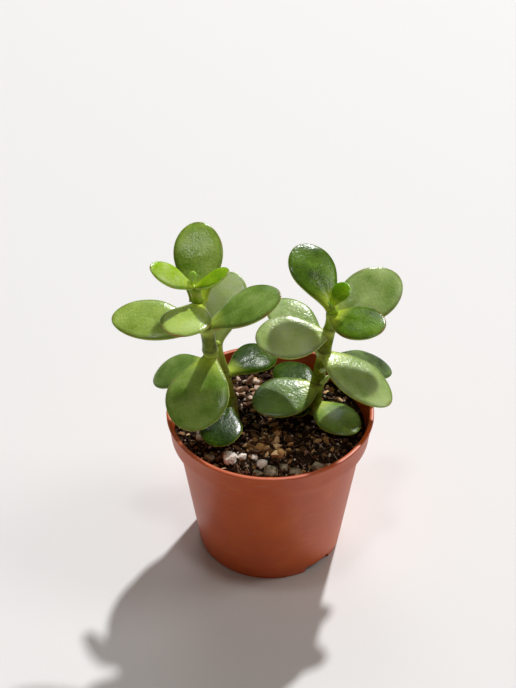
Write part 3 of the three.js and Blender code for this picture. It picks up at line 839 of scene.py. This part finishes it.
# Terracotta-coloured polypropylene, injection moulded: satin, a little cloudy, with fine handling
# scuffs. Its moulded grain is too fine to show and is drawn 0.5 mm apart.
def mouldedPolypropylene():
    material = newMaterial("terracotta_polypropylene")
    place = addNode(material, "ShaderNodeTexCoord").outputs["Object"]
    cloud = addNode(material, "ShaderNodeTexNoise",
                    {"Scale": perMillimetre(24), "Detail": 4.0, "Roughness": 0.6}, {"Vector": place})
    colour = addNode(material, "ShaderNodeValToRGB", links={"Fac": cloud.outputs["Fac"]},
                     stops=[(0.3, "b84608"), (0.7, "cc5c1e")])
    stretched = addNode(material, "ShaderNodeMapping", {"Scale": (0.09, 0.09, 1.6)}, {"Vector": place})
    streaks = addNode(material, "ShaderNodeTexNoise", {"Scale": perMillimetre(1.1), "Detail": 3.0},
                      {"Vector": stretched.outputs["Vector"]})
    marks = addNode(material, "ShaderNodeMapRange", {"From Min": 0.62, "From Max": 0.78, "To Max": 0.3},
                    {"Value": streaks.outputs["Fac"]})
    scuffed = layTints(material, colour.outputs["Color"], [(marks.outputs["Result"], "d79a7c")])
    grainy = addNode(material, "ShaderNodeTexNoise", {"Scale": perMillimetre(0.5), "Detail": 2.0},
                     {"Vector": place})
    bump = addNode(material, "ShaderNodeBump", {"Strength": 0.12, "Distance": 0.1 * mm},
                   {"Height": grainy.outputs["Fac"]})
    rough = addNode(material, "ShaderNodeMapRange", {"To Min": 0.34, "To Max": 0.52},
                    {"Value": cloud.outputs["Fac"]})
    return finishMaterial(material, {"IOR": 1.49, "Specular IOR Level": 0.5}, {
        "Base Color": scuffed,
        "Roughness": rough.outputs["Result"],
        "Normal": bump.outputs["Normal"],
    })


# Peat with composted bark: nearly black, matt, with paler fibres catching light.
def dampPeat():
    material = newMaterial("damp_peat")
    place = addNode(material, "ShaderNodeTexCoord").outputs["Object"]
    flecks = addNode(material, "ShaderNodeTexNoise",
                     {"Scale": perMillimetre(1.4), "Detail": 6.0, "Roughness": 0.7}, {"Vector": place})
    colour = addNode(material, "ShaderNodeValToRGB", links={"Fac": flecks.outputs["Fac"]},
                     stops=[(0.36, "100703"), (0.55, "2e1c0e"), (0.72, "6b4c30")])
    bump = addNode(material, "ShaderNodeBump", {"Strength": 0.9, "Distance": 0.5 * mm},
                   {"Height": flecks.outputs["Fac"]})
    return finishMaterial(material, {"Roughness": 0.95, "Specular IOR Level": 0.2}, {
        "Base Color": colour.outputs["Color"],
        "Normal": bump.outputs["Normal"],
    })


# Loose bits of the mix: each bit's colour comes from its own tone, so that neighbours differ.
def looseBits(name, stops, roughness, fleckSize):
    material = newMaterial(name)
    place = addNode(material, "ShaderNodeTexCoord").outputs["Object"]
    tone = readParts(material, ("tone",))["tone"]
    flecks = addNode(material, "ShaderNodeTexNoise", {"Scale": perMillimetre(fleckSize), "Detail": 3.0},
                     {"Vector": place})
    shifted = addNode(material, "ShaderNodeMath", {"operation": "MULTIPLY_ADD", 1: 0.5, 2: -0.25},
                      {0: flecks.outputs["Fac"]})
    level = addNode(material, "ShaderNodeMath", {"operation": "ADD"},
                    {0: tone, 1: shifted.outputs["Value"]})
    colour = addNode(material, "ShaderNodeValToRGB", links={"Fac": level.outputs["Value"]}, stops=stops)
    bump = addNode(material, "ShaderNodeBump", {"Strength": 0.6, "Distance": 0.2 * mm},
                   {"Height": flecks.outputs["Fac"]})
    return finishMaterial(material, {"Roughness": roughness, "Specular IOR Level": 0.3}, {
        "Base Color": colour.outputs["Color"],
        "Normal": bump.outputs["Normal"],
    })


# Peat crumbs: dark brown and matt, with a few paler ones.
def peatBits():
    return looseBits("peat_bits", [(0, "160b04"), (0.6, "3a2412"), (1, "9a7450")], 0.95, 0.8)


# Composted pine bark: brown chips that break to a golden, fibrous face; the lightest colours are partly
# painted sunlight.
def barkBits():
    stops = [(0, "2c180c"), (0.4, "6e4a26"), (0.75, "bc8e58"), (1, "e4c090")]
    return looseBits("pine_bark_bits", stops, 0.85, 0.9)


# Coconut coir: pale pinkish brown and dry, the lightest fibre in the mix.
def coirBits():
    return looseBits("coir_bits", [(0, "6a4632"), (0.5, "bc967c"), (1, "f0dccb")], 0.9, 0.6)


# Crushed perlite: small chalk white crumbs.
def perliteBits():
    return looseBits("perlite_bits", [(0, "cbb9aa"), (1, "fbf3ea")], 0.9, 0.5)


# River grit: small grey-brown stones with a slight sheen.
def gritBits():
    return looseBits("grit_bits", [(0, "4c4432"), (0.6, "8c8268"), (1, "cabfa6")], 0.7, 0.7)


# Expanded perlite: chalk white and full of tiny burst bubbles.
def expandedPerlite():
    material = newMaterial("expanded_perlite")
    place = addNode(material, "ShaderNodeTexCoord").outputs["Object"]
    pores = addNode(material, "ShaderNodeTexVoronoi", {"Scale": perMillimetre(0.6)}, {"Vector": place})
    colour = addNode(material, "ShaderNodeValToRGB", links={"Fac": pores.outputs["Distance"]},
                     stops=[(0, "bba695"), (0.35, "e9dccf"), (0.8, "f7f0e9")])
    bump = addNode(material, "ShaderNodeBump", {"Strength": 0.7, "Distance": 0.25 * mm},
                   {"Height": pores.outputs["Distance"]})
    return finishMaterial(material, {"Roughness": 0.9, "Specular IOR Level": 0.25}, {
        "Base Color": colour.outputs["Color"],
        "Normal": bump.outputs["Normal"],
    })


# River grit: grey-green, worn smooth, with darker damp patches.
def wornGrit():
    material = newMaterial("worn_river_grit")
    place = addNode(material, "ShaderNodeTexCoord").outputs["Object"]
    cloud = addNode(material, "ShaderNodeTexNoise",
                    {"Scale": perMillimetre(1.8), "Detail": 5.0, "Roughness": 0.6}, {"Vector": place})
    colour = addNode(material, "ShaderNodeValToRGB", links={"Fac": cloud.outputs["Fac"]},
                     stops=[(0.3, "4c4432"), (0.5, "857a60"), (0.7, "cfc4aa")])
    bump = addNode(material, "ShaderNodeBump", {"Strength": 0.4, "Distance": 0.2 * mm},
                   {"Height": cloud.outputs["Fac"]})
    return finishMaterial(material, {"Roughness": 0.5}, {
        "Base Color": colour.outputs["Color"],
        "Normal": bump.outputs["Normal"],
    })


# Green jade stem skin, satin: olive between the rings, pale in the collar below each, brown in the
# ring itself, browner near the mix and bright green at the tip.
def stemSkin():
    material = newMaterial("jade_stem_skin")
    place = addNode(material, "ShaderNodeTexCoord").outputs["Object"]
    cloud = addNode(material, "ShaderNodeTexNoise",
                    {"Scale": perMillimetre(2.2), "Detail": 4.0, "Roughness": 0.6}, {"Vector": place})
    part = readParts(material, ("collar", "ring", "high"))
    olive = addNode(material, "ShaderNodeValToRGB", links={"Fac": cloud.outputs["Fac"]},
                    stops=[(0.3, "4c5a00"), (0.7, "869604")])
    paleShare = addNode(material, "ShaderNodeMath", {"operation": "MULTIPLY", 1: 0.85},
                        {0: part["collar"]})
    oldShare = addNode(material, "ShaderNodeMapRange", {"From Min": 0.45, "From Max": 0.1, "To Max": 0.35},
                       {"Value": part["high"]})
    youngShare = addNode(material, "ShaderNodeMapRange", {"From Min": 0.8, "From Max": 0.95, "To Max": 1.0},
                         {"Value": part["high"]})
    ringShare = addNode(material, "ShaderNodeMath", {"operation": "MULTIPLY", 1: 0.6},
                        {0: part["ring"]})
    colour = layTints(material, olive.outputs["Color"], [
        (oldShare.outputs["Result"], "6b4a1e"),
        (youngShare.outputs["Result"], "96c00c"),
        (paleShare.outputs["Value"], "c3d25c"),
        (ringShare.outputs["Value"], "4f3f14"),
    ])
    bump = addNode(material, "ShaderNodeBump", {"Strength": 0.25, "Distance": 0.15 * mm},
                   {"Height": cloud.outputs["Fac"]})
    return finishMaterial(material, {"Roughness": 0.34, "Specular IOR Level": 0.35, "Subsurface Weight": 0.3,
                                     "Subsurface Scale": 1.4 * mm, "Subsurface Radius": (0.8, 1.0, 0.15)}, {
        "Base Color": colour,
        "Normal": bump.outputs["Normal"],
    })


# Jade leaf skin: thick, fleshy and satin, pale where it joins the stem (partly painted light), with tiny
# pits, a waxy bloom that is partly a painted sheen, a thin pale margin that is partly a painted highlight,
# a band of painted shade just inside it and red patches along it. The real pits are too fine to show and
# are drawn 1.1 mm apart.
def leafSkin(name, stops, baseColour, waxAndSheenColour, marginAndRimLightColour, subsurface, gloss):
    material = newMaterial(name)
    place = addNode(material, "ShaderNodeTexCoord").outputs["Object"]
    part = readParts(material, ("along", "edge", "upper", "tone", "bloom", "flush"))
    cloud = addNode(material, "ShaderNodeTexNoise", {"Scale": perMillimetre(9), "Detail": 4.0},
                    {"Vector": place})
    mottle = addNode(material, "ShaderNodeTexNoise",
                     {"Scale": perMillimetre(0.9), "Detail": 3.0, "Roughness": 0.7}, {"Vector": place})
    both = addNode(material, "ShaderNodeMath", {"operation": "MULTIPLY_ADD", 1: 0.6},
                   {0: mottle.outputs["Fac"], 2: cloud.outputs["Fac"]})
    shifted = addNode(material, "ShaderNodeMath", {"operation": "MULTIPLY_ADD", 1: 0.9, 2: -0.72},
                      {0: both.outputs["Value"]})
    level = addNode(material, "ShaderNodeMath", {"operation": "ADD"},
                    {0: part["tone"], 1: shifted.outputs["Value"]})
    colour = addNode(material, "ShaderNodeValToRGB", links={"Fac": level.outputs["Value"]}, stops=stops)
    under = addNode(material, "ShaderNodeMapRange", {"From Min": 0.5, "From Max": 0.3, "To Max": 0.35},
                    {"Value": part["upper"]})
    # Pale where the leaf joins the stem: partly its own paler stalk, partly painted light reaching further
    # up.
    base = addNode(material, "ShaderNodeMapRange", {"From Min": 0.3, "From Max": 0.08, "To Max": 0.95},
                   {"Value": part["along"]})
    # Waxy bloom: partly the leaf's own pale film, partly a painted sheen.
    bloom = addNode(material, "ShaderNodeMath", {"operation": "MULTIPLY"},
                    {0: part["bloom"], 1: cloud.outputs["Fac"]})
    # A thin pale margin: partly the leaf's own paler edge, partly a painted highlight and light through the
    # rim.
    line = addNode(material, "ShaderNodeMapRange", {"From Min": 0.08, "From Max": 0.0, "To Max": 0.6},
                   {"Value": part["edge"]})
    # Painted shade: a darker band just inside the margin, where the rounded rim turns from the light.
    paintedRimShade = addNode(material, "ShaderNodeMapRange", {"From Min": 0.5, "From Max": 0.12, "To Max": 0.42},
                    {"Value": part["edge"]})
    patches = addNode(material, "ShaderNodeTexNoise", {"Scale": perMillimetre(7), "Detail": 2.0},
                      {"Vector": place})
    patch = addNode(material, "ShaderNodeMapRange", {"From Min": 0.45, "From Max": 0.65},
                    {"Value": patches.outputs["Fac"]})
    nearEdge = addNode(material, "ShaderNodeMapRange", {"From Min": 0.3, "From Max": 0.0},
                       {"Value": part["edge"]})
    tip = addNode(material, "ShaderNodeMapRange", {"From Min": 0.93, "From Max": 0.995},
                  {"Value": part["along"]})
    redPlace = addNode(material, "ShaderNodeMath", {"operation": "MAXIMUM"},
                       {0: patch.outputs["Result"], 1: tip.outputs["Result"]})
    patchy = addNode(material, "ShaderNodeMath", {"operation": "MULTIPLY"},
                     {0: redPlace.outputs["Value"], 1: nearEdge.outputs["Result"]})
    red = addNode(material, "ShaderNodeMath", {"operation": "MULTIPLY"},
                  {0: patchy.outputs["Value"], 1: part["flush"]})
    tinted = layTints(material, colour.outputs["Color"], [
        (under.outputs["Result"], waxAndSheenColour),
        (base.outputs["Result"], baseColour),
        (bloom.outputs["Value"], waxAndSheenColour),
        (paintedRimShade.outputs["Result"], stops[0][1]),
        (line.outputs["Result"], marginAndRimLightColour),
        (red.outputs["Value"], "8c4526"),
    ])
    pits = addNode(material, "ShaderNodeTexNoise",
                   {"Scale": perMillimetre(1.1), "Detail": 2.0, "Roughness": 0.6}, {"Vector": place})
    pitBump = addNode(material, "ShaderNodeBump", {"Strength": 0.8, "Distance": 0.17 * mm},
                      {"Height": pits.outputs["Fac"]})
    wave = addNode(material, "ShaderNodeTexNoise", {"Scale": perMillimetre(4), "Detail": 2.0},
                   {"Vector": place})
    waveBump = addNode(material, "ShaderNodeBump", {"Strength": 0.3, "Distance": 0.4 * mm},
                       {"Height": wave.outputs["Fac"], "Normal": pitBump.outputs["Normal"]})
    rough = addNode(material, "ShaderNodeMapRange", {"To Min": 0.16, "To Max": 0.3},
                    {"Value": cloud.outputs["Fac"]})
    return finishMaterial(material, {"Subsurface Weight": subsurface, "Subsurface Scale": 2.2 * mm,
                                     "Subsurface Radius": (0.8, 1.0, 0.15), "Specular IOR Level": gloss}, {
        "Base Color": tinted,
        "Roughness": rough.outputs["Result"],
        "Normal": waveBump.outputs["Normal"],
    })


# Full-grown leaves: deep green with a satin shine.
def matureLeaf():
    return leafSkin("mature_jade_leaf", [(0, "203c02"), (0.5, "6b9216"), (1, "b4cc64")],
                    "cbe048", "b9c4a4", "c6d660", 0.6, 0.36)


# The lowest leaves of a stem, in shadow: darker, as painted shade, and duller.
def shadedLowLeaf():
    return leafSkin("shaded_low_jade_leaf", [(0, "2a4404"), (0.5, "5c7c1a"), (1, "93a850")],
                    "b4c848", "98a284", "a8b850", 0.6, 0.1)


# Half-grown leaves and buds: bright yellow-green, with more light passing through them.
def youngLeaf():
    return leafSkin("young_jade_leaf", [(0, "568c00"), (0.5, "9ac010"), (1, "d2e094")],
                    "c8dc3c", "c6d2a0", "d8e880", 0.9, 0.36)


# Build

makeCamera()
makeStudio()
print("camera and studio made")
makePot(mouldedPolypropylene())
makeSoil(dampPeat())
bits = {
    "peat": peatBits(),
    "bark": barkBits(),
    "coir": coirBits(),
    "perlite": perliteBits(),
    "grit": gritBits(),
}
bitSlots = {"perlite": "perlite", "grit": "pebble"}
for name, kind in crumbKinds.items():
    makeCrumbs(name, kind, bits[kind["material"]], bitSlots.get(kind["material"], "peat_and_bark"))
makeStrands(bits["coir"])
makeGrains("perlite", perliteGrains, expandedPerlite())
makeGrains("pebble", pebbleGrains, wornGrit())
stemMaterial = stemSkin()
for name, stem in stems.items():
    makeStem(name + "Stem", stem, stemMaterial)
print("stems made")
makeLeaves(matureLeaf(), shadedLowLeaf(), youngLeaf())
